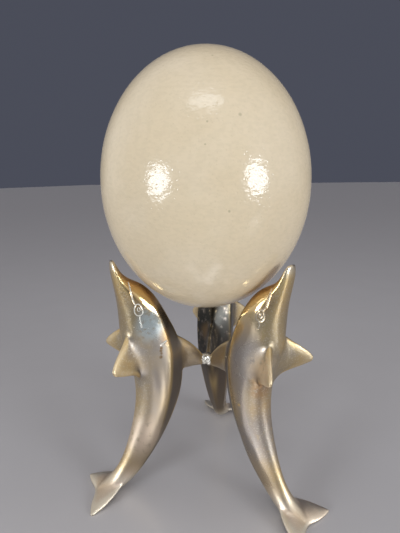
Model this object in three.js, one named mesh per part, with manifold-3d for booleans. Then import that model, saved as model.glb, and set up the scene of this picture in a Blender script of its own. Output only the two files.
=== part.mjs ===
// An ostrich egg resting in a stand of three cast brass dolphins that stand on their tails.
// Millimetres, +Z up. The origin is on the surface the stand rests on, below the middle of the whole
// object's bounding box. The stand's own axis lies in front of it by standAxisY, because the back
// dolphin's tail reaches further from that axis than the egg does.

import * as THREE from 'three';
import { mergeVertices } from 'three/addons/utils/BufferGeometryUtils.js';
import Module from 'manifold-3d';

const wasm = await Module();
wasm.setup();

// Driving dimensions
const EGG_WIDTH = 128;
const EGG_HEIGHT = 156;
const EGG_CENTRE_HEIGHT = 203;
const JOINT_HEIGHT = 85.5; // middle of the lump that joins the dorsal fins
const JOINT_RADIUS = 4;
const GAP = 0.3; // left between pieces that touch
const BODY_SQUARENESS = 0.14;
const BODY_FACES = [24, 28]; // around the body, and from beak to tail
const FIN_FACES = [10, 7];
const FLUKE_FACES = [10, 18];
const EGG_FACES = [48, 24];
const JOINT_FACES = [12, 8];
const BEARINGS = { right_dolphin: -30, back_dolphin: 90, left_dolphin: 210 }; // degrees from +X

// A dolphin faces along its own +X, away from the stand's axis, with +Y to its side and +Z up.
// Each body station is [belly x, belly z, back x, back z, half width], from the beak to the tail.
const BODY = [
  [61.6, 160.2, 60.4, 159.9, 2.8],
  [61.8, 157.2, 58.6, 156.2, 5.0],
  [60.8, 148.0, 55.6, 150.6, 6.2],
  [59.6, 141.0, 50.8, 146.4, 7.8],
  [58.8, 134.0, 43.2, 143.2, 10.0],
  [58.2, 126.0, 36.2, 136.4, 11.4],
  [58.0, 117.5, 30.4, 127.0, 12.4],
  [57.6, 108.5, 25.2, 115.8, 13.2],
  [55.6, 101.5, 21.4, 106.6, 13.6],
  [52.9, 93.6, 18.6, 96.6, 13.6],
  [50.7, 84.0, 17.9, 85.4, 13.2],
  [49.5, 73.6, 18.4, 73.0, 12.4],
  [49.9, 63.0, 21.2, 60.4, 11.0],
  [52.0, 50.5, 26.2, 47.8, 9.4],
  [55.8, 36.6, 33.4, 33.4, 7.5],
  [60.4, 24.0, 41.8, 20.8, 5.9],
  [65.2, 15.6, 51.4, 9.4, 4.7],
  [69.6, 9.6, 60.2, 1.6, 4.2],
  [74.2, 5.2, 67.6, -1.2, 4.2],
  [77.0, 2.2, 75.6, 0.2, 2.4],
];

// Fin sections are [leading edge, trailing edge, half thickness], from the root to the tip.
const DORSAL_FIN = [
  [[27, 0, 110], [24, 0, 80], 3.4],
  [[20.6, 0, 105.6], [18, 0, 81.6], 2.8],
  [[13.2, 0, 100.8], [11, 0, 81.9], 2.2],
  [[8, 0, 95.6], [6.6, 0, 81.6], 1.9],
  [[4.6, 0, 91.2], [4, 0, 81.4], 1.7],
  [[1.6, 0, 88], [1.6, 0, 82.4], 1.2],
];
const PECTORAL_FIN = [
  [[48, 4, 114], [44, 4, 86], 3.0],
  [[54.6, 11, 111], [49.4, 9.4, 82.6], 2.6],
  [[60, 17, 107.4], [54.2, 14.4, 88], 2.1],
  [[64.2, 21.6, 103], [59.4, 19.4, 92.4], 1.6],
  [[66.6, 24.9, 97.6], [65, 24.7, 96], 0.8],
];
const FLUKE = [
  [[58, 0, 10], [80.4, 0, 1.6], 3.2],
  [[60.5, 4.6, 9], [82.6, 5, 1.5], 2.8],
  [[64.5, 8, 6.8], [84, 8.8, 1.4], 2.4],
  [[69, 11.5, 4.6], [84.7, 12, 1.3], 2.1],
  [[74.4, 15, 2.9], [85.1, 15.2, 1.2], 1.9],
  [[80, 17.8, 1.7], [85.4, 17.8, 1.1], 1.6],
  [[84.6, 19.4, 1.0], [85.4, 19.2, 1.0], 1.2],
];

const flukeReach = Math.max(...FLUKE.map(([, trailing]) => trailing[0]));
const standAxisY = (EGG_WIDTH / 2 - flukeReach) / 2;

const eggShell = new THREE.MeshStandardMaterial({ color: 0xe6d3ad, roughness: 0.28, metalness: 0 });
const castBrass = () => new THREE.MeshStandardMaterial({ color: 0xb59a66, roughness: 0.3, metalness: 1 });
const brazingBrass = new THREE.MeshStandardMaterial({ color: 0xd8c08a, roughness: 0.4, metalness: 1 });

// A closed skin through sections. Each section is two opposite edges and the half thickness between
// them, and the skin closes to a point in the middle of the first and of the last one. A squareness
// of 0 gives oval sections, and more gives fuller corners.
function loft(sections, around, along, squareness = 0) {
  const through = (pick) => new THREE.CatmullRomCurve3(sections.map(pick), false, 'catmullrom', 0.5);
  const middle = through(([edge, otherEdge]) => edge.clone().add(otherEdge).multiplyScalar(0.5));
  const reach = through(([edge, otherEdge]) => edge.clone().sub(otherEdge).multiplyScalar(0.5));
  const thickness = through((section) => new THREE.Vector3(section[2], 0, 0));
  const skin = new THREE.SphereGeometry(1, around, along);
  const places = skin.attributes.position;
  const point = new THREE.Vector3();
  for (let i = 0; i < places.count; i += 1) {
    point.fromBufferAttribute(places, i);
    const t = Math.acos(THREE.MathUtils.clamp(point.y, -1, 1)) / Math.PI;
    const outward = reach.getPoint(t);
    const sideways = middle.getTangent(t).cross(outward).setLength(thickness.getPoint(t).x);
    const angle = Math.atan2(point.z, point.x);
    const open = Math.hypot(point.x, point.z) > 1e-6 ? 1 : 0;
    const squared = (part) => open * Math.sign(part) * Math.abs(part) ** (1 - squareness);
    const place = middle.getPoint(t);
    place.addScaledVector(outward, squared(Math.cos(angle)));
    place.addScaledVector(sideways, squared(Math.sin(angle)));
    places.setXYZ(i, place.x, place.y, place.z);
  }
  return skin;
}

// Joins and cuts work on a solid, and a solid needs its vertices shared between faces
function solid(geometry) {
  const shared = geometry.clone();
  shared.deleteAttribute('normal');
  shared.deleteAttribute('uv');
  const merged = mergeVertices(shared, 1e-3);
  const vertProperties = new Float32Array(merged.attributes.position.array);
  const triVerts = new Uint32Array(merged.index.array);
  return new wasm.Manifold(new wasm.Mesh({ numProp: 3, vertProperties, triVerts }));
}

function geometryOf(manifold) {
  const mesh = manifold.getMesh();
  const geometry = new THREE.BufferGeometry();
  geometry.setAttribute('position', new THREE.BufferAttribute(mesh.vertProperties, 3));
  geometry.setIndex(new THREE.BufferAttribute(mesh.triVerts, 1));
  geometry.computeVertexNormals();
  return geometry;
}

// The egg turned from half its outline, lower pole to upper one, and swollen all over by extra
function eggGeometry(extra = 0) {
  const [around, along] = EGG_FACES;
  const outline = [];
  for (let i = 0; i <= along; i += 1) {
    const angle = (Math.PI * i) / along - Math.PI / 2;
    const across = i === 0 || i === along ? 0 : (EGG_WIDTH / 2 + extra) * Math.cos(angle);
    outline.push(new THREE.Vector2(across, (EGG_HEIGHT / 2 + extra) * Math.sin(angle)));
  }
  const egg = new THREE.LatheGeometry(outline, around);
  egg.rotateX(Math.PI / 2);
  egg.translate(0, 0, EGG_CENTRE_HEIGHT);
  return egg;
}

// The lumpy blob of filler between the three fin tips
function jointGeometry(extra = 0) {
  const [around, along] = JOINT_FACES;
  const outline = new THREE.SplineCurve([
    new THREE.Vector2(0, -JOINT_RADIUS - extra),
    new THREE.Vector2(JOINT_RADIUS * 0.72 + extra, -JOINT_RADIUS * 0.8),
    new THREE.Vector2(JOINT_RADIUS + extra, 0),
    new THREE.Vector2(JOINT_RADIUS * 0.66 + extra, JOINT_RADIUS * 0.85),
    new THREE.Vector2(0, JOINT_RADIUS * 1.15 + extra),
  ]);
  const joint = new THREE.LatheGeometry(outline.getPoints(along), around);
  joint.rotateX(Math.PI / 2);
  joint.translate(0, 0, JOINT_HEIGHT);
  return joint;
}

// Sections with their edges as vectors, on the dolphin's own left (side 1) or right (side -1)
function finSections(fin, side = 1) {
  const edge = ([x, y, z]) => new THREE.Vector3(x, y * side, z);
  return fin.map(([leading, trailing, half]) => [edge(leading), edge(trailing), half]);
}

// Everything below the resting surface is cut away, which leaves flat feet under the tail
function belowFloor() {
  const [length, width, depth] = [80, 80, 20];
  const block = new THREE.BoxGeometry(length, width, depth);
  block.translate(flukeReach, 0, -depth / 2);
  return solid(block);
}

function dolphinGeometry() {
  const bodySections = BODY.map(([bellyX, bellyZ, backX, backZ, half]) => [
    new THREE.Vector3(bellyX, 0, bellyZ),
    new THREE.Vector3(backX, 0, backZ),
    half,
  ]);
  const rightFluke = finSections(FLUKE, -1).slice(1).reverse();
  const fins = [
    loft(finSections(DORSAL_FIN), ...FIN_FACES),
    loft(finSections(PECTORAL_FIN), ...FIN_FACES),
    loft(finSections(PECTORAL_FIN, -1), ...FIN_FACES),
    loft([...rightFluke, ...finSections(FLUKE)], ...FLUKE_FACES),
  ];
  let casting = solid(loft(bodySections, ...BODY_FACES, BODY_SQUARENESS));
  for (const fin of fins) {
    casting = casting.add(solid(fin));
  }
  casting = casting.subtract(solid(eggGeometry(GAP)));
  casting = casting.subtract(solid(jointGeometry(GAP)));
  casting = casting.subtract(belowFloor());
  return geometryOf(casting);
}

function named(name, geometry, material) {
  const mesh = new THREE.Mesh(geometry, material);
  mesh.name = name;
  return mesh;
}

const stand = new THREE.Group();
stand.position.y = standAxisY;

const casting = dolphinGeometry();
for (const [name, bearing] of Object.entries(BEARINGS)) {
  const dolphin = named(name, casting, castBrass());
  dolphin.rotation.z = THREE.MathUtils.degToRad(bearing);
  stand.add(dolphin);
}
stand.add(named('braze_joint', jointGeometry(), brazingBrass));
stand.add(named('ostrich_egg', eggGeometry(), eggShell));

const object = new THREE.Group();
object.add(stand);

export default object;
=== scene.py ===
import math

import bmesh
import bpy
import numpy
from mathutils import Matrix, Vector


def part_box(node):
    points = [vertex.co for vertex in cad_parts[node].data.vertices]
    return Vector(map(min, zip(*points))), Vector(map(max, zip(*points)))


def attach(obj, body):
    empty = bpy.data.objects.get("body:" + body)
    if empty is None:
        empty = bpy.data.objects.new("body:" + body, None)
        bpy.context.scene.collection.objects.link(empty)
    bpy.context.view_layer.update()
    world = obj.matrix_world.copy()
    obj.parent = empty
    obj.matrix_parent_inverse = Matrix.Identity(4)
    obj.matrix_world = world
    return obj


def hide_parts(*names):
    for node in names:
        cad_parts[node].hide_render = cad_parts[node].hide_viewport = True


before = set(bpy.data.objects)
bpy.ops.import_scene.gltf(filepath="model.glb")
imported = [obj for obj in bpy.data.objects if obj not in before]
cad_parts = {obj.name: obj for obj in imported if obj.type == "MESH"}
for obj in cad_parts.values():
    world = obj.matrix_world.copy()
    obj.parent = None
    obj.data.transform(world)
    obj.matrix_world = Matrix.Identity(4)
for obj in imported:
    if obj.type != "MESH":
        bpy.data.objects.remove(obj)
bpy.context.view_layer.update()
mm = 0.001

# The stand's axis runs up through the braze joint, and each dolphin faces away from it
jointLow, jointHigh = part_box("braze_joint")
eggLow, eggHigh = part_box("ostrich_egg")
standAxis = (jointLow + jointHigh) / 2
standAxis.z = 0
bearings = {"right": -30, "back": 90, "left": 210}  # degrees from +X, seen from above
print("frame loaded")


def choose(*pieces):
    bpy.ops.object.select_all(action="DESELECT")
    for piece in pieces:
        piece.select_set(True)
    bpy.context.view_layer.objects.active = pieces[0]


def startEditing(piece):
    choose(piece)
    bpy.ops.object.mode_set(mode="EDIT")


def stopEditing():
    bpy.ops.object.mode_set(mode="OBJECT")


def justAdded(name):
    piece = bpy.context.object
    piece.name = piece.data.name = name
    return piece


def addModifier(piece, kind, **settings):
    modifier = piece.modifiers.new(kind.title(), kind)
    for setting, value in settings.items():
        setattr(modifier, setting, value)
    choose(piece)
    bpy.ops.object.modifier_apply(modifier=modifier.name)


def joinPieces(pieces, name):
    choose(*pieces)
    bpy.ops.object.join()
    return justAdded(name)


def settle(piece):
    # place, turn and size go into the mesh, so the object itself stays at the origin
    choose(piece)
    bpy.ops.object.transform_apply(location=True, rotation=True, scale=True)


def pickVerts(piece, wanted):
    cage = bmesh.from_edit_mesh(piece.data)
    cage.verts.index_update()
    for vert in cage.verts:
        vert.select = wanted(vert)
    cage.select_flush_mode()
    bmesh.update_edit_mesh(piece.data)


ringCount = 16  # points in every ring of a cage
smoothingLoss = (2 + math.cos(2 * math.pi / ringCount)) / 3  # how far subdivision pulls a ring in
frontCorner, rearCorner = (9, 15), (2, 6)  # columns of the ring that carry the ridges
beforeRear = (1, 7)  # columns between the rear ridges and the widest points
beforeRearAcross = 1.05  # how far those move out when the rear ridges are pushed
besideSpine, spine = (3, 5), (4,)
besideSpinePush = (0.97, 0.72)  # along and across
smoothLevels = 3


def addRing(piece, front, rear, half, along, frontPush, rearPush):
    # an oval ring between two opposite edges, with its ridge points moved along and across it
    middle = (front + rear) / 2
    chord = (front - rear).normalized()
    across = along.cross(chord).normalized()
    axes = Matrix((chord, across, chord.cross(across))).transposed()
    reach = (front - rear).length / 2 / smoothingLoss
    bpy.ops.mesh.select_all(action="DESELECT")
    bpy.ops.mesh.primitive_circle_add(
        vertices=ringCount, radius=1, location=middle, rotation=axes.to_euler())
    scaling = {"orient_type": "GLOBAL", "orient_matrix_type": "GLOBAL", "orient_matrix": axes,
               "center_override": middle}
    bpy.ops.transform.resize(value=(reach, half / smoothingLoss, 1), **scaling)
    first = len(bmesh.from_edit_mesh(piece.data).verts) - ringCount
    moves = [(frontCorner, frontPush), (rearCorner, rearPush)]
    if rearPush:
        moves += [(beforeRear, (rearPush[0], beforeRearAcross)), (besideSpine, besideSpinePush)]
    for columns, push in moves:
        if push:
            pickVerts(piece, lambda vert: vert.index - first in columns)
            bpy.ops.transform.resize(value=(*push, 1), **scaling)


def loft(name, sections, creases=()):
    # rings from the first section to the last, bridged, closed at both ends and made smooth
    # a section is front edge, rear edge, half thickness, and how far its front and rear ridges move
    bpy.ops.object.add(type="MESH")
    piece = justAdded(name)
    startEditing(piece)
    middles = [(section[0] + section[1]) / 2 for section in sections]
    for i, section in enumerate(sections):
        along = middles[min(i + 1, len(middles) - 1)] - middles[max(i - 1, 0)]
        front, rear, half, frontPush, rearPush = (*section, None, None)[:5]
        addRing(piece, front, rear, half, along, frontPush, rearPush)
        if i > 0:
            start = (i - 1) * ringCount
            pickVerts(piece, lambda vert: vert.index >= start)
            bpy.ops.mesh.bridge_edge_loops()
    lastRing = (len(sections) - 1) * ringCount
    for ring in (0, lastRing):
        pickVerts(piece, lambda vert: ring <= vert.index < ring + ringCount)
        bpy.ops.mesh.fill_grid(span=ringCount // 4)
    for columns, firstRing, endRing, crease in creases:
        for column in columns:
            rings = range(firstRing, endRing)
            pickVerts(piece, lambda vert: vert.index < lastRing + ringCount
                      and vert.index % ringCount == column and vert.index // ringCount in rings)
            bpy.ops.transform.edge_crease(value=crease)
    bpy.ops.mesh.select_all(action="SELECT")
    bpy.ops.mesh.normals_make_consistent(inside=False)
    stopEditing()
    addModifier(piece, "SUBSURF", levels=smoothLevels, render_levels=smoothLevels)
    return piece


# One dolphin, in its own frame: +X out from the stand's axis, +Y to its side, +Z up

dolphin = {
    # belly x and z, back x and z, half width, push of the front ridge and of the rear ridge
    "body": [
        (61.9, 159.6, 59.6, 159.2, 4.0, (0.4, 1.0), None),
        (62.2, 156.6, 57.9, 156.2, 5.8, (0.3, 1.0), None),
        (62.0, 153.0, 56.5, 153.2, 6.6, (0.25, 1.0), None),
        (61.3, 148.0, 54.7, 150.3, 7.4, (0.25, 1.0), None),
        (60.1, 141.0, 50.8, 146.8, 8.5, (0.3, 0.98), None),
        (59.1, 134.0, 43.0, 143.6, 11.0, (0.5, 0.95), (0.98, 1.04)),
        (58.4, 126.0, 36.0, 136.8, 12.9, (1.0, 0.93), (0.98, 1.2)),
        (58.2, 117.5, 30.2, 127.2, 13.2, (1.4, 0.93), (0.93, 1.3)),
        (57.8, 108.5, 25.0, 115.9, 13.3, (1.5, 0.93), (0.88, 1.29)),
        (55.8, 101.5, 21.2, 106.7, 13.5, (1.2, 0.99), (0.76, 1.3)),
        (53.1, 93.6, 18.4, 96.6, 13.6, (1.0, 1.0), (0.62, 1.31)),
        (50.9, 84.0, 17.7, 85.4, 13.3, None, (0.5, 1.32)),
        (49.7, 73.6, 18.2, 73.0, 12.6, None, (0.4, 1.33)),
        (50.1, 63.0, 21.0, 60.4, 11.2, None, (0.38, 1.32)),
        (52.2, 50.5, 26.0, 47.8, 9.5, None, (0.52, 1.28)),
        (56.0, 36.6, 33.2, 33.4, 7.6, None, (0.78, 1.19)),
        (60.5, 24.0, 41.7, 20.8, 5.9, None, (1.0, 1.1)),
        (65.1, 16.0, 51.4, 9.4, 5.4, None, None),
        (69.2, 11.0, 60.2, 2.8, 6.4, None, None),
        (73.8, 7.4, 67.6, 1.0, 7.4, None, None),
        (79.0, 4.2, 76.4, 1.0, 5.6, None, None),
    ],
    # columns of the ring, first ring and end ring, crease: the jaw's edges and the ridges of the back
    "creases": [(frontCorner, 1, 9, 0.35), (rearCorner, 6, 17, 0.85), (spine, 8, 17, 0.4)],
    # leading edge, trailing edge, half thickness
    "dorsalFin": [
        ((29, 0, 110), (24, 0, 78), 6.0),
        ((20.6, 0, 105.6), (18.4, 0, 81.0), 3.4),
        ((15.6, 0, 102.2), (13.8, 0, 81.4), 2.3),
        ((11.2, 0, 98.8), (10, 0, 81.6), 1.9),
        ((7.2, 0, 94.6), (6.6, 0, 81.6), 1.7),
        ((4.6, 0, 91.2), (4, 0, 81.4), 1.6),
        ((2.2, 0, 88), (2.0, 0, 82.4), 1.4),
    ],
    "pectoralFin": [
        ((51, 3, 118), (46, 3, 77), 5.6),
        ((54.6, 9.0, 114.0), (48.0, 9.0, 84.0), 4.2),
        ((57.6, 12.8, 110.0), (51.6, 12.2, 87.8), 2.9),
        ((60.4, 16.6, 107.2), (55.0, 15.2, 89.4), 2.1),
        ((64.4, 21.4, 102.6), (59.8, 19.8, 91.8), 1.5),
        ((66.4, 24.6, 98.2), (64.8, 24.1, 94.8), 1.1),
    ],
    "finReach": {1: 1, -1: 0.94},  # the fins on the -Y side came out a little shorter
    "beakLean": {"above": 156, "shift": 1.8, "spread": 30},  # the tip's move to +Y, dying away downwards
    # leading edge, trailing edge, half thickness, from the middle to the +Y tip
    "fluke": [
        ((58, 0, 9.8), (80.2, 0, 1.2), 3.0),
        ((60.5, 4.6, 8.4), (82.4, 5, 1.0), 2.4),
        ((64.5, 8, 6.2), (83.8, 8.8, 0.8), 2.0),
        ((68.4, 11.5, 5.0), (84.4, 12, 0.7), 1.8),
        ((73.8, 15.2, 3.0), (84.8, 15.2, 0.6), 1.5),
        ((80, 17.8, 1.3), (85.0, 17.6, 0.6), 1.2),
        ((83.6, 18.9, 0.8), (85.0, 18.7, 0.6), 0.9),
    ],
    "voxel": 0.5,
    "smoothing": 12,
    # each pass: how wide a hollow is sought, rounds of smoothing, the depth in mm that gets all of it
    "fillets": [(40, 150, 0.12), (90, 250, 0.2), (140, 350, 0.3), (140, 350, 0.3)],
    "leastWeight": 0.02,
    # rounds of averaging for the relief that wear, painted highlight and dirt follow, and for the finished
    # relief
    "reliefRounds": 90,
    "reliefSoftening": 8,
}
softening = 0.5  # share of the way to its neighbours that a point moves in a round of smoothing


def point(x, y, z):
    return Vector((x, y, z)) * mm


def finSections(name, side=1):
    root = point(*dolphin[name][0][0])
    stretch = dolphin["finReach"][side]
    sections = []
    for lead, trail, half in dolphin[name]:
        edges = [root + (point(*edge) - root) * stretch for edge in (lead, trail)]
        for edge in edges:
            edge.y *= side
        sections.append((*edges, half * mm))
    return sections


def makeDolphin():
    bodySections = [
        (point(bellyX, 0, bellyZ), point(backX, 0, backZ), half * mm, frontPush, rearPush)
        for bellyX, bellyZ, backX, backZ, half, frontPush, rearPush in dolphin["body"]
    ]
    rightFluke = finSections("fluke", -1)[:0:-1]
    parts = [
        loft("body", bodySections, dolphin["creases"]),
        loft("dorsalFin", finSections("dorsalFin")),
        loft("pectoralLeft", finSections("pectoralFin")),
        loft("pectoralRight", finSections("pectoralFin", -1)),
        loft("flukes", rightFluke + finSections("fluke")),
    ]
    casting = joinPieces(parts, "dolphin")
    lean = dolphin["beakLean"]
    startEditing(casting)
    pickVerts(casting, lambda vert: vert.co.z > lean["above"] * mm)
    bpy.ops.transform.translate(
        value=(0, lean["shift"] * mm, 0), use_proportional_edit=True,
        proportional_edit_falloff="SMOOTH", proportional_size=lean["spread"] * mm)
    stopEditing()
    addModifier(casting, "REMESH", mode="VOXEL", voxel_size=dolphin["voxel"] * mm)
    addModifier(casting, "SMOOTH", factor=softening, iterations=dolphin["smoothing"])
    return casting


def flattenFoot(piece):
    # what hangs below the floor is cut off, which leaves the flat faces that the stand rests on
    startEditing(piece)
    bpy.ops.mesh.select_all(action="SELECT")
    bpy.ops.mesh.bisect(
        plane_co=(0, 0, 0), plane_no=(0, 0, 1), threshold=1e-6, use_fill=True, clear_inner=True)
    bpy.ops.mesh.mark_sharp()
    stopEditing()


engraving = {
    # for each side of the head: paths in x and z, or ovals, with the width and depth of the cut
    1: [
        {"path": [(52.0, 146.2), (51.6, 143.5), (51.2, 140), (50.7, 136.8), (49.6, 133.6)],
         "width": 0.6, "depth": 0.25},
        {"middle": (47.5, 129.6), "size": (2.5, 3.7), "tilt": 8, "width": 0.5, "depth": 0.2},
        {"middle": (47.4, 130.3), "size": (0.9, 1.2), "tilt": 8, "width": 0.35, "depth": 0.12},
        {"path": [(47.0, 125.8), (46.9, 123.2), (46.4, 121), (46.1, 118.8)], "width": 0.5, "depth": 0.2},
    ],
    -1: [
        {"path": [(53.5, 146.2), (53.8, 142.5), (53.1, 139), (52.6, 136.2), (51.2, 134.2)],
         "width": 0.7, "depth": 0.3},
        {"middle": (49.8, 130.6), "size": (2.2, 3.4), "tilt": 4, "width": 0.5, "depth": 0.2},
        {"middle": (50.0, 131.0), "size": (0.8, 1.1), "tilt": 4, "width": 0.45, "depth": 0.18},
        {"path": [(49.3, 127.2), (49.8, 125.4), (49.0, 123.2)], "width": 0.5, "depth": 0.18},
    ],
}
# later marks on single castings: the side they are on, and the cut
scratches = {
    "left": [(1, {"path": [(34.8, 106.4), (33.0, 107.0), (31.2, 108.0)], "width": 0.9, "depth": 0.2})],
}
cutting = {
    "margin": 2,  # mm searched round all the lines
    "refined": 0.5,  # mm beside a line's width that get finer faces
    "marked": 0.4,  # mm beside a line's width that can be marked for the material
    # shares of a line's width: where the mark has faded, what sinks in full, and how far the edge dies away
    "markFade": 0.75,
    "floor": 0.3,
    "edge": 0.8,
    "ovalSteps": 24,
    "ovalPeak": 0.12,  # how far an oval's top is drawn out
}


def ovalPath(cut):
    turn = math.radians(cut["tilt"])
    path = []
    for step in range(cutting["ovalSteps"] + 1):
        angle = 2 * math.pi * step / cutting["ovalSteps"]
        x = cut["size"][0] * math.cos(angle)
        z = cut["size"][1] * math.sin(angle) * (1 + cutting["ovalPeak"] * math.sin(angle))
        path.append((cut["middle"][0] + x * math.cos(turn) + z * math.sin(turn),
                     cut["middle"][1] - x * math.sin(turn) + z * math.cos(turn)))
    return path


def distanceTo(path, x, z):
    nearest = math.inf
    for (startX, startZ), (endX, endZ) in zip(path, path[1:]):
        stepX, stepZ = endX - startX, endZ - startZ
        along = ((x - startX) * stepX + (z - startZ) * stepZ) / (stepX ** 2 + stepZ ** 2)
        along = min(1, max(0, along))
        nearest = min(nearest, math.hypot(x - startX - along * stepX, z - startZ - along * stepZ))
    return nearest


def engrave(piece, cuts, side):
    # finer faces along each line, then the line is sunk with a soft edge, and marked for the material
    startEditing(piece)
    lines = [(cut.get("path") or ovalPath(cut), cut) for cut in cuts]
    lows = [min(step[i] for path, cut in lines for step in path) - cutting["margin"] for i in (0, 1)]
    highs = [max(step[i] for path, cut in lines for step in path) + cutting["margin"] for i in (0, 1)]

    def near(vert, reach):
        x, y, z = vert.co / mm
        if not (lows[0] < x < highs[0] and lows[1] < z < highs[1] and y * side > 0):
            return False
        return any(distanceTo(path, x, z) < reach + cut["width"] for path, cut in lines)

    pickVerts(piece, lambda vert: near(vert, cutting["refined"]))
    bpy.ops.mesh.subdivide(number_cuts=2)
    cage = bmesh.from_edit_mesh(piece.data)
    marks = cage.verts.layers.float.get("engraved") or cage.verts.layers.float.new("engraved")
    for vert in cage.verts:
        if near(vert, cutting["marked"]):
            x, y, z = vert.co / mm
            mark = max(1 - distanceTo(path, x, z) / cut["width"] / cutting["markFade"] for path, cut in lines)
            vert[marks] = max(vert[marks], mark, 0)
    for path, cut in lines:
        pickVerts(piece, lambda vert: near(vert, 0) and distanceTo(path, vert.co.x / mm, vert.co.z / mm)
                  < cut["width"] * cutting["floor"])
        bpy.ops.transform.shrink_fatten(
            value=-cut["depth"] * mm, use_proportional_edit=True, proportional_edit_falloff="SMOOTH",
            proportional_size=cut["width"] * cutting["edge"] * mm)
    stopEditing()


def averaged(mesh, values, rounds):
    # each round gives every point the mean of its neighbours' values
    count = len(mesh.vertices)
    pairs = numpy.empty(len(mesh.edges) * 2, dtype=int)
    mesh.edges.foreach_get("vertices", pairs)
    starts = numpy.concatenate((pairs[0::2], pairs[1::2]))
    ends = numpy.concatenate((pairs[1::2], pairs[0::2]))
    neighbours = numpy.maximum(numpy.bincount(starts, minlength=count), 1)
    for _ in range(rounds):
        sums = [numpy.bincount(starts, weights=column[ends], minlength=count) for column in values.T]
        values = numpy.stack(sums, axis=1) / neighbours[:, None]
    return values


def vertexRows(mesh, name):
    rows = numpy.empty(len(mesh.vertices) * 3)
    mesh.vertices.foreach_get(name, rows)
    return rows.reshape(-1, 3)


def reliefOf(mesh, rounds):
    # how far each point stands proud of its smoothed surroundings, in mm
    place = vertexRows(mesh, "co")
    return ((place - averaged(mesh, place, rounds)) * vertexRows(mesh, "normal")).sum(axis=1) / mm


def softenHollows(piece, rounds, iterations, depth):
    # inside corners are smoothed until they are round, as the fillets of a casting are
    group = piece.vertex_groups.new(name="hollows")
    weights = numpy.clip(-reliefOf(piece.data, rounds) / depth, 0, 1)
    for index in numpy.flatnonzero(weights > dolphin["leastWeight"]).tolist():
        group.add([index], float(weights[index]), "REPLACE")
    addModifier(piece, "SMOOTH", factor=softening, iterations=iterations, vertex_group=group.name)
    piece.vertex_groups.clear()


def markRelief(piece):
    # kept on the mesh, for wear and painted highlight on ridges and dirt in hollows
    relief = reliefOf(piece.data, dolphin["reliefRounds"])
    relief = averaged(piece.data, relief[:, None], dolphin["reliefSoftening"])[:, 0].astype(numpy.float32)
    piece.data.attributes.new("relief", "FLOAT", "POINT").data.foreach_set("value", relief)


casting = makeDolphin()
for rounds, iterations, depth in dolphin["fillets"]:
    softenHollows(casting, rounds, iterations, depth)
flattenFoot(casting)
for side, cuts in engraving.items():
    engrave(casting, cuts, side)
markRelief(casting)
print("dolphin modelled", len(casting.data.polygons), "faces")

dolphins = {}
for side, bearing in bearings.items():
    copy = casting.copy()
    copy.data = casting.data.copy()
    copy.name = side + "Dolphin"
    bpy.context.collection.objects.link(copy)
    for face, scratch in scratches.get(side, []):
        engrave(copy, [scratch], face)
    copy.matrix_world = Matrix.Translation(standAxis) @ Matrix.Rotation(math.radians(bearing), 4, "Z")
    settle(copy)
    bpy.ops.object.shade_smooth()
    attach(copy, "root")
    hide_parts(side + "_dolphin")
    dolphins[side] = copy
bpy.data.objects.remove(casting)
print("three dolphins in place")

egg = {
    "centre": (eggLow + eggHigh) / 2,
    "reach": (eggHigh - eggLow) / 2,
    "dimpleSpacing": 2.3 * mm,
    "dimpleDepth": 0.06 * mm,
    "swellSpacing": 22 * mm,
    "swellDepth": 0.12 * mm,
    "facets": 6,  # how often the ball's faces are divided, and then the cuts through each
    "facetCuts": 2,
}


def makeEgg():
    bpy.ops.mesh.primitive_ico_sphere_add(subdivisions=egg["facets"], radius=1)
    shell = justAdded("ostrichEgg")
    startEditing(shell)
    bpy.ops.mesh.select_all(action="SELECT")
    bpy.ops.mesh.subdivide(number_cuts=egg["facetCuts"])
    stopEditing()
    addModifier(shell, "CAST", cast_type="SPHERE", factor=1, radius=1, use_radius_as_size=False)
    shell.scale = egg["reach"]
    shell.location = egg["centre"]
    settle(shell)
    # the shell only ever dips inwards from its full size: slow swells, and the small dimples over them
    for name in ("swell", "dimple"):
        texture = bpy.data.textures.new(name, "CLOUDS")
        texture.noise_scale = egg[name + "Spacing"]
        texture.noise_depth = 0
        addModifier(shell, "DISPLACE", texture=texture, texture_coords="LOCAL", direction="NORMAL",
                    mid_level=1, strength=egg[name + "Depth"])
    bpy.ops.object.shade_smooth()
    return shell


shell = makeEgg()
print("egg modelled", len(shell.data.polygons), "faces")
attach(shell, "root")
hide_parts("ostrich_egg")

# The braze holds the tips of the three dorsal fins together
braze = {
    "middle": (jointLow + jointHigh) / 2,
    "reach": (jointHigh - jointLow) / 2,
    # x, y, z in mm from the middle, and size as a share of the whole
    "beads": [
        (0, 0, 0, 0.95), (1.7, -1.6, 1.5, 0.56), (-1.7, -1.5, -1.5, 0.56), (0.2, 1.5, 0.5, 0.6),
        (1.6, -1.6, -1.9, 0.53), (-1.8, -1.6, 1.8, 0.53), (1.9, 0.9, -1.2, 0.5), (-1.9, 1.4, 0.2, 0.5),
        (0.1, -1.9, 0.1, 0.52), (2.3, -2.2, -0.7, 0.44), (2.2, -2.3, 1.3, 0.42), (-2.3, -2.2, -0.2, 0.44),
        (-2.1, -2.3, 1.6, 0.42)],
    "voxel": 0.22,
    "smoothing": 3,
}


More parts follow.
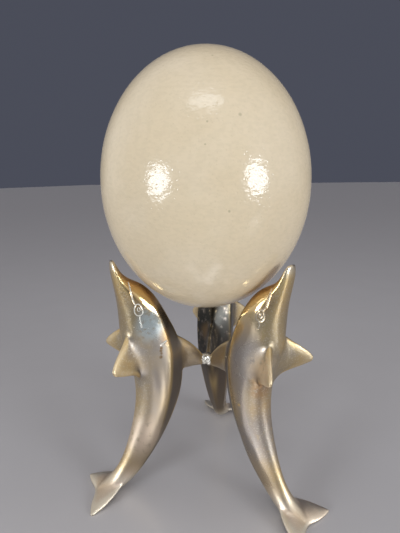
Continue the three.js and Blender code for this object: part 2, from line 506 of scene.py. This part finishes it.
def makeBraze():
    beads = []
    for x, y, z, size in braze["beads"]:
        bpy.ops.mesh.primitive_ico_sphere_add(
            subdivisions=4, radius=1, location=braze["middle"] + point(x, y, z), scale=braze["reach"] * size)
        beads.append(justAdded("bead"))
    blob = joinPieces(beads, "brazeJoint")
    settle(blob)
    addModifier(blob, "REMESH", mode="VOXEL", voxel_size=braze["voxel"] * mm)
    addModifier(blob, "SMOOTH", factor=softening, iterations=braze["smoothing"])
    # grown until it fills the space that the joint has
    bpy.ops.object.origin_set(type="ORIGIN_GEOMETRY", center="BOUNDS")
    blob.scale = [2 * reach / across for reach, across in zip(braze["reach"], blob.dimensions)]
    blob.location = braze["middle"]
    settle(blob)
    bpy.ops.object.shade_smooth()
    return blob


blob = makeBraze()
print("braze joint modelled", len(blob.data.polygons), "faces")
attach(blob, "root")
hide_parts("braze_joint")


class Wire:
    # one socket in a material: arithmetic on it adds the nodes that work it out
    def __init__(self, tree, socket=None):
        self.tree = tree
        self.socket = socket

    def node(self, kind, settings, sockets, output=0):
        made = self.tree.nodes.new("ShaderNode" + kind)
        for name, value in settings.items():
            setattr(made, name, value)
        for name, value in sockets.items():
            if isinstance(value, Wire):
                self.tree.links.new(value.socket, made.inputs[name])
            else:
                made.inputs[name].default_value = value
        return Wire(self.tree, made.outputs[output])

    def maths(self, operation, *values):
        return self.node("Math", {"operation": operation}, dict(enumerate(values)))

    def __add__(self, other):
        return self.maths("ADD", self, other)

    def __radd__(self, other):
        return self.maths("ADD", other, self)

    def __sub__(self, other):
        return self.maths("SUBTRACT", self, other)

    def __rsub__(self, other):
        return self.maths("SUBTRACT", other, self)

    def __mul__(self, other):
        return self.maths("MULTIPLY", self, other)

    def __rmul__(self, other):
        return self.maths("MULTIPLY", other, self)

    def __abs__(self):
        return self.maths("ABSOLUTE", self)

    def step(self, low, high):
        # 0 below low and 1 above high, with a soft change between
        return self.node("MapRange", {"interpolation_type": "SMOOTHSTEP"},
                         {"Value": self, "From Min": low, "From Max": high})

    def larger(self, other):
        return self.maths("MAXIMUM", self, other)

    def noise(self, size, detail, stretch=(1, 1, 1)):
        # soft noise, 0 to 1, on a place in millimetres
        place = self.node("Mapping", {}, {"Vector": self, "Scale": [1 / (size * share) for share in stretch]})
        return self.node("TexNoise", {}, {"Vector": place, "Scale": 1, "Detail": detail})

    def cells(self, size, randomness=1):
        # the distance to the middle of the nearest cell, in cells
        place = self.node("Mapping", {}, {"Vector": self, "Scale": (1 / size,) * 3})
        sockets = {"Vector": place, "Scale": 1, "Randomness": randomness}
        return self.node("TexVoronoi", {}, sockets, "Distance")

    def bump(self):
        # this value is a height in millimetres
        return self.node("Bump", {}, {"Strength": 1, "Distance": mm, "Height": self})

    def spot(self, middle, radius, edge=0.5):
        # 1 inside a ball round a point in millimetres, soft towards its rim
        away = self.node("VectorMath", {"operation": "DISTANCE"}, {0: self, 1: middle}, "Value")
        return 1 - away.step(radius * (1 - edge), radius * (1 + edge))

    def colour(self, under, over):
        # this value is how much of the second colour covers the first
        return self.node("Mix", {"data_type": "RGBA"}, {0: self, 6: paint(under), 7: paint(over)}, 2)


def paint(colour):
    return colour if isinstance(colour, Wire) else (*colour, 1)


def newMaterial(name, shader, place, turn=0):
    # a material and its place in millimetres, seen from a point with a turn about Z
    material = bpy.data.materials.new(name)
    material.use_nodes = True
    tree = material.node_tree
    tree.nodes.clear()
    start = Wire(tree)
    objectPlace = start.node("TexCoord", {}, {}, "Object")
    local = start.node("Mapping", {"vector_type": "TEXTURE"}, {
        "Vector": objectPlace, "Location": place, "Rotation": (0, 0, turn), "Scale": (mm, mm, mm)})
    surface = shader(local)
    output = tree.nodes.new("ShaderNodeOutputMaterial")
    tree.links.new(surface.socket, output.inputs["Surface"])
    return material


eggMiddle = egg["centre"] / mm
shellLook = {
    "cream": (0.695, 0.567, 0.39),
    "pale": (0.735, 0.617, 0.455),
    "warm": (0.65, 0.54, 0.37),
    "speck": (0.34, 0.30, 0.19),
    "ripple": (0.42, 0.35, 0.24),
    # how much of each colour is laid on
    "paleShare": 0.55,
    "warmShare": 0.3,
    "poreShare": 0.06,
    "speckShare": 0.55,
    "rippleShare": 0.09,
    # single specks that are set one by one: x, y, z and radius
    "specks": [(12.2, -68.6, 232.5, 0.5), (26.8, -62.1, 235.9, 0.8), (11.7, -71.6, 222.1, 0.45),
               (22.8, -69.6, 191.2, 0.6), (10.8, -45.8, 266.8, 0.5)],
    "poreSpacing": 2.1,
    "poreScatter": 0.85,
    "poreReach": (0, 0.36),
    "poreDepth": 0.06,
    "freckleSpacing": 13,
    "freckleReach": (0.015, 0.05),
    "rippleSize": 2.2,
    "rippleStretch": (1.4, 1.4, 0.75),
    "rippleHeight": 0.09,
    "roughness": 0.12,
    "roughening": 0.03,
}


def shellShader(place):
    look = shellLook
    clouds = place.noise(34, 3).step(0.35, 0.65)
    fine = place.noise(5, 3).step(0.3, 0.7)
    pore = 1 - place.cells(look["poreSpacing"], look["poreScatter"]).step(*look["poreReach"])
    freckle = 1 - place.cells(look["freckleSpacing"]).step(*look["freckleReach"])
    freckle = freckle * place.noise(21, 0).step(0.5, 0.6)
    for *middle, size in look["specks"]:
        freckle = freckle.larger(place.spot(Vector(middle) - eggMiddle, size))
    ripples = place.noise(look["rippleSize"], 1, look["rippleStretch"])
    tone = (clouds * look["paleShare"]).colour(look["cream"], look["pale"])
    tone = (fine * look["warmShare"]).colour(tone, look["warm"])
    tone = (pore * look["poreShare"]).colour(tone, look["speck"])
    tone = (freckle * look["speckShare"]).colour(tone, look["speck"])
    tone = (ripples.step(0.4, 0.65) * look["rippleShare"]).colour(tone, look["ripple"])
    return place.node("BsdfPrincipled", {}, {
        "Base Color": tone, "Roughness": look["roughness"] + fine * look["roughening"], "IOR": 1.5,
        "Normal": (ripples * look["rippleHeight"] - pore * look["poreDepth"]).bump()})


shell.data.materials.append(newMaterial("eggShell", shellShader, egg["centre"]))

brassLook = {
    "greyed": (0.40, 0.365, 0.345),
    "champagne": (0.48, 0.42, 0.35),
    "golden": (0.60, 0.44, 0.22),
    "olive": (0.40, 0.335, 0.235),
    "amber": (0.78, 0.50, 0.22),
    "rose": (0.78, 0.64, 0.53),
    "blush": (0.86, 0.71, 0.56),
    "gilt": (0.78, 0.57, 0.26),
    # pale metal: wear on the beak tips and the grain, and painted highlight on the fin and fluke edges
    "paleWearAndHighlight": (0.80, 0.74, 0.62),
    # painted dark reflection: dark brown for the backs, which face the dark space between the dolphins
    "paintedReflectionBrown": (0.11, 0.075, 0.045),
    # painted dark reflection: near black, for the back dolphin
    "paintedReflectionBlack": (0.035, 0.035, 0.032),
    "dusk": (0.26, 0.235, 0.225),
    "brown": (0.26, 0.16, 0.07),
    "orange": (0.50, 0.24, 0.07),
    "blueGrey": (0.72, 0.79, 0.79),
    "residue": (0.66, 0.64, 0.58),
    "keelWearAndShine": {"left": 0.85, "right": 0.6, "back": 0.15},  # how bright the keel's line is: partly wear, partly painted highlight
    "flankDarkening": {"left": 0.0, "right": 0.8, "back": 0.8},  # how much darker the flanks are made
    "satin": {"left": 0.28, "right": 0.23, "back": 0.24},  # how rough the flanks are
    "headRoughness": 0.12,
    "residueLeft": {"left": 1, "right": 0.45, "back": 0.45},  # pale residue in the engraved lines
    # where each part begins and ends, in mm in the dolphin's own frame
    "flukesUpTo": (8, 22),
    "tailUpTo": (20, 70),
    "headFrom": (100, 125),
    "beakFrom": (140, 150),
    "beakTipFrom": (151, 158),
    "finsBeyond": (11.5, 17),
    "finsOutFrom": (44, 50),
    "dorsalWithin": (17, 20),
    "finRoot": ((52, 12, 103), 13, 0.8),
    # the top of the head, painted lighter and more orange: partly tarnish, partly painted reflection of the
    # egg above it
    "melon": ((44, 0, 142), 15, 0.35),
    "keelWithin": (0.8, 2.6),
    # patches in the dolphin's own frame: colour, x, y, z, radius, strength; most are stains, and some, marked
    # below, are painted shadow and painted dark reflection
    "stainsAndPaintedShade": {
        "left": [("blueGrey", 41.0, 12, 118.0, 8, 0.9), ("blueGrey", 42.5, 12, 125, 5, 0.7),
                 ("brown", 34.7, 13.5, 104, 0.9, 0.9), ("brown", 35.0, 13.5, 102.3, 0.9, 0.9),
                 ("brown", 34.8, 13.5, 100.5, 0.8, 0.9), ("brown", 35.2, 13.5, 98.2, 1.0, 0.9),
                 ("orange", 31, 12, 112, 4.5, 0.4), ("blush", 51, 6, 42, 13, 0.75)],
        "right": [("orange", 50, -3, 68, 8, 0.2), ("orange", 49, -7, 82, 6, 0.45),
                  # the first brown spot below, under the near pectoral fin's trailing root, is painted shadow
                  ("brown", 47, -11.5, 89, 3.4, 0.8), ("orange", 50, -1, 58, 5, 0.25),
                  ("blush", 54, -16, 98, 10, 0.85), ("gilt", 54, -16, 98, 10, 0.3),
                  ("dusk", 46, -8, 50, 14, 0.45), ("greyed", 49, 0, 50, 16, 0.6),
                  ("blush", 78, 14, 3, 12, 0.8), ("golden", 36, -12.1, 70.1, 1.0, 1)],
        # the two near-black patches on the back dolphin are painted dark reflection; the orange and brown
        # ones are stains
        "back": [("paintedReflectionBlack", 26, 9, 95, 26, 0.95), ("paintedReflectionBlack", 27, -6, 120, 22, 0.8),
                 ("orange", 44, 12, 100, 7, 0.5), ("brown", 22, 3, 96, 6, 0.5)],
    },
}


def brassShader(side):
    look = brassLook
    turn = math.radians(bearings[side])
    towardsAxis = (-math.cos(turn), -math.sin(turn), 0)
    satin = look["satin"][side]

    def shader(place):
        relief = place.node("Attribute", {"attribute_name": "relief"}, {}, "Fac")
        engraved = place.node("Attribute", {"attribute_name": "engraved"}, {}, "Fac")
        outward, sideways, height = [place.node("SeparateXYZ", {}, {"Vector": place}, axis) for axis in "XYZ"]
        mirrored = place.node("VectorMath", {"operation": "ABSOLUTE"}, {0: place})
        facing = place.node("NewGeometry", {}, {}, "Normal")
        inward = facing.node("VectorMath", {"operation": "DOT_PRODUCT"}, {0: facing, 1: towardsAxis}, "Value")

        # masks for the parts of the casting
        back = inward.step(0.2, 0.55)
        front = (0 - inward).step(0.15, 0.6)
        flukes = 1 - height.step(*look["flukesUpTo"])
        tail = 1 - height.step(*look["tailUpTo"])
        head = height.step(*look["headFrom"])
        beak = height.step(*look["beakFrom"])
        melon = place.spot(*look["melon"])
        finRoot = mirrored.spot(*look["finRoot"])
        dorsal = 1 - outward.step(*look["dorsalWithin"])
        fins = (abs(sideways).step(*look["finsBeyond"]) * outward.step(*look["finsOutFrom"])).larger(dorsal)
        cast = front.larger(fins).larger(beak).larger(flukes).larger(finRoot * 0.9) * (1 - dorsal * 0.6)
        flank = height.step(25, 60) * (1 - height.step(105, 130)) * (1 - front) * (1 - fins)
        keel = (1 - abs(sideways).step(*look["keelWithin"])) * back * height.step(20, 40)
        ridge = relief.step(0.1, 0.6) * outward.step(20, 25) * height.step(35, 65).larger(flukes)
        hollow = (0 - relief).step(0.12, 0.8)

        # patterns over all of it
        cloud = place.noise(18, 3).step(0.35, 0.65)
        grain = place.noise(0.9, 3)
        blotch = place.noise(5, 4, (1, 1, 1.6)).step(0.45, 0.75)
        pits = (1 - place.cells(3.1).step(0.05, 0.12)) * place.noise(9, 0).step(0.45, 0.6)
        uneven = place.noise(3.5, 3).step(0.2, 0.5)

        # each layer of colour, and how much of it covers what lies below
        # the colour of the ridges, gilt on the body and pale on the fins and flukes: partly wear, partly
        # painted highlight
        ridgeWearAndShine = flukes.larger(fins * 0.4).colour(look["gilt"], look["paleWearAndHighlight"])
        layers = [
            (head * 0.5, look["golden"]),
            (blotch * (0.1 + cast * 0.25), look["golden"]),
            (tail * 0.5, look["golden"]),
            (flukes * (0.5 + cloud * 0.4), look["rose"]),
            (finRoot * cloud * 0.5, look["golden"]),
            (flank * look["flankDarkening"][side], look["dusk"]),
            # painted dark reflection: the backs made dark brown, more so low down
            (back * (0.75 - height.step(85, 100) * 0.4), look["paintedReflectionBrown"]),
            # a bright gilt line along the keel: partly wear, partly painted highlight
            (keel * look["keelWearAndShine"][side], look["gilt"]),
            (front * (0.2 + cloud * 0.3), look["golden"]),
            (front * height.step(60, 100) * 0.6, look["olive"]),
            (fins * (0.35 + cloud * 0.4), look["golden"]),
            # painted reflection of the egg on the top of the head, partly tarnish
            (melon * (0.65 + cloud * 0.3), look["amber"]),
            # ridges lighter: partly wear, partly painted highlight
            (ridge * 0.7, ridgeWearAndShine),
            (hollow * 0.4, look["brown"]),
            (height.step(*look["beakTipFrom"]) * (0.4 + grain * 0.5), look["paleWearAndHighlight"]),
        ]
        # the listed patches: stains, with some painted shadow and painted dark reflection among them
        for name, x, y, z, radius, strength in look["stainsAndPaintedShade"][side]:
            layers.append((place.spot((x, y, z), radius, 0.6) * uneven * strength, look[name]))
        layers.append((cast * grain.step(0.54, 0.66) * height.step(-1, 4) * 0.35, look["paleWearAndHighlight"]))
        filled = engraved.step(0.1, 0.5) * look["residueLeft"][side]
        layers.append((filled, look["residue"]))
        tone = (cloud * 0.6 + 0.2).colour(look["greyed"], look["champagne"])
        for share, over in layers:
            tone = share.colour(tone, over)

        rough = satin - head * (satin - look["headRoughness"]) + finRoot * 0.08 + cloud * 0.03 + blotch * 0.04
        rough = rough + hollow * 0.15 + back * 0.1 + cast * (0.12 + grain * 0.08)
        surface = grain * (0.006 + cast * 0.035 + flukes.larger(beak) * 0.05)
        surface = surface + place.noise(3.2, 2) * 0.012 - pits * 0.08
        return place.node("BsdfPrincipled", {}, {
            "Base Color": tone, "Metallic": 1 - filled * 0.85, "Roughness": rough, "Normal": surface.bump()})
    return shader


for side, copy in dolphins.items():
    copy.data.materials.append(
        newMaterial(side + "CastBrass", brassShader(side), standAxis, math.radians(bearings[side])))


brazeLook = {
    "bright": (0.82, 0.79, 0.71),
    "brassy": (0.45, 0.36, 0.22),
    "brassyShare": 0.7,
    "grainHeight": 0.12,
}


def brazeShader(place):
    grain = place.noise(0.8, 3)
    tone = (grain.step(0.5, 0.75) * brazeLook["brassyShare"]).colour(brazeLook["bright"], brazeLook["brassy"])
    return place.node("BsdfPrincipled", {}, {
        "Base Color": tone, "Metallic": 1, "Roughness": 0.18 + grain * 0.15,
        "Normal": (grain * brazeLook["grainHeight"]).bump()})


blob.data.materials.append(newMaterial("brazeMetal", brazeShader, braze["middle"]))
print("materials made")

view = {
    "place": Vector((47.7, -258.6, 206.6)) * mm,
    "turn": math.radians(11.82),
    "down": math.radians(12.54),
    "roll": math.radians(-0.7),
    "focal": 395,  # in the pixels of a frame of the height below
    "frameHeight": 533,
    "sensor": 36,
}
camera = bpy.data.objects.new("camera", bpy.data.cameras.new("camera"))
bpy.context.collection.objects.link(camera)
camera.matrix_world = (
    Matrix.Translation(view["place"]) @ Matrix.Rotation(view["turn"], 4, "Z")
    @ Matrix.Rotation(math.pi / 2 - view["down"], 4, "X") @ Matrix.Rotation(view["roll"], 4, "Z"))
camera.data.sensor_width = view["sensor"]
camera.data.lens = view["focal"] / view["frameHeight"] * view["sensor"]
camera.data.clip_start = 0.01
bpy.context.scene.camera = camera

studio = {
    "floor": (0.50, 0.48, 0.49),
    "floorSize": 16,
    "floorFront": -0.27,  # the floor's front edge, which leaves a dark line in the polished heads
    "floorMottle": 60,
    "floorShade": 0.94,
    "floorRoughness": 0.28,
    # the room is bright overhead and to both sides, and dark before and behind
    "backdrop": (0.07, 0.075, 0.10),
    "room": (0.78, 0.77, 0.76),
    "beneath": (0.36, 0.38, 0.40),
    "overhead": 0.55,
    "sides": 0.8,
    "lamp": (0.90, 0.95, 1.0),
    # where each light shines from, the point it is aimed at, how far off it stands, its size and its power
    "lights": [
        {"from": (-0.606, -0.795, 0.035), "at": (-12.4, -73.4, 205.8), "away": 1.0,
         "size": (0.42, 0.38), "power": 5.3},
        {"from": (0.893, -0.446, 0.064), "at": (35.3, -64, 206.5), "away": 1.0,
         "size": (0.42, 0.38), "power": 5.3},
        {"from": (0.094, -0.466, 0.88), "at": (10.6, -64.9, 242.4), "away": 1.3,
         "size": (0.7, 0.3), "power": 2},
    ],
    # strips that lie just over the floor before the stand: their middle, the way they run, size and power
    "strips": [
        {"middle": (36, -104), "along": (0.66, -0.75), "size": (0.03, 0.08), "power": 0.013},
        {"middle": (-15, -108), "along": (-0.35, -0.94), "size": (0.028, 0.08), "power": 0.007},
    ],
    "stripHeight": 6,
}


def addLamp(name, shape, setting):
    data = bpy.data.lights.new(name, "AREA")
    data.shape = shape
    data.size, data.size_y = setting["size"]
    data.energy = setting["power"]
    lamp = bpy.data.objects.new(name, data)
    bpy.context.collection.objects.link(lamp)
    return lamp


for number, setting in enumerate(studio["lights"]):
    lamp = addLamp(f"softbox{number}", "ELLIPSE", setting)
    lamp.data.color = studio["lamp"]
    direction = Vector(setting["from"]).normalized()
    lamp.matrix_world = (Matrix.Translation(point(*setting["at"]) + direction * setting["away"])
                         @ direction.to_track_quat("Z", "Y").to_matrix().to_4x4())

for number, setting in enumerate(studio["strips"]):
    lamp = addLamp(f"strip{number}", "RECTANGLE", setting)
    lamp.visible_camera = False
    alongX, alongY = setting["along"]
    lamp.matrix_world = (Matrix.Translation(point(*setting["middle"], studio["stripHeight"]))
                         @ Matrix.Rotation(math.atan2(-alongX, alongY), 4, "Z")
                         @ Matrix.Rotation(math.pi, 4, "Y"))

bpy.ops.mesh.primitive_plane_add(
    size=studio["floorSize"], location=(0, studio["floorSize"] / 2 + studio["floorFront"], 0))
floor = justAdded("floor")


def floorShader(place):
    shaded = [channel * studio["floorShade"] for channel in studio["floor"]]
    tone = place.noise(studio["floorMottle"], 4).colour(studio["floor"], shaded)
    return place.node("BsdfPrincipled", {}, {"Base Color": tone, "Roughness": studio["floorRoughness"]})


floor.data.materials.append(newMaterial("paleFloor", floorShader, (0, 0, 0)))

world = bpy.data.worlds.new("world")
bpy.context.scene.world = world
world.use_nodes = True
sky = Wire(world.node_tree)
outlook = sky.node("TexCoord", {}, {}, "Generated")
eastward, northward, upward = [sky.node("SeparateXYZ", {}, {"Vector": outlook}, axis) for axis in "XYZ"]
share = (upward * studio["overhead"] + abs(eastward) * studio["sides"]).step(0.1, 1.0)
glow = (share * (1 - northward.step(0.25, 0.65))).colour(studio["backdrop"], studio["room"])
beneath = (0 - upward).step(0.02, 0.1) * (0 - northward).step(0, 0.3)
glow = beneath.colour(glow, studio["beneath"])
world.node_tree.links.new(glow.socket, world.node_tree.nodes["Background"].inputs["Color"])
bpy.context.scene.view_settings.view_transform = "Standard"
print("camera, floor and light set")
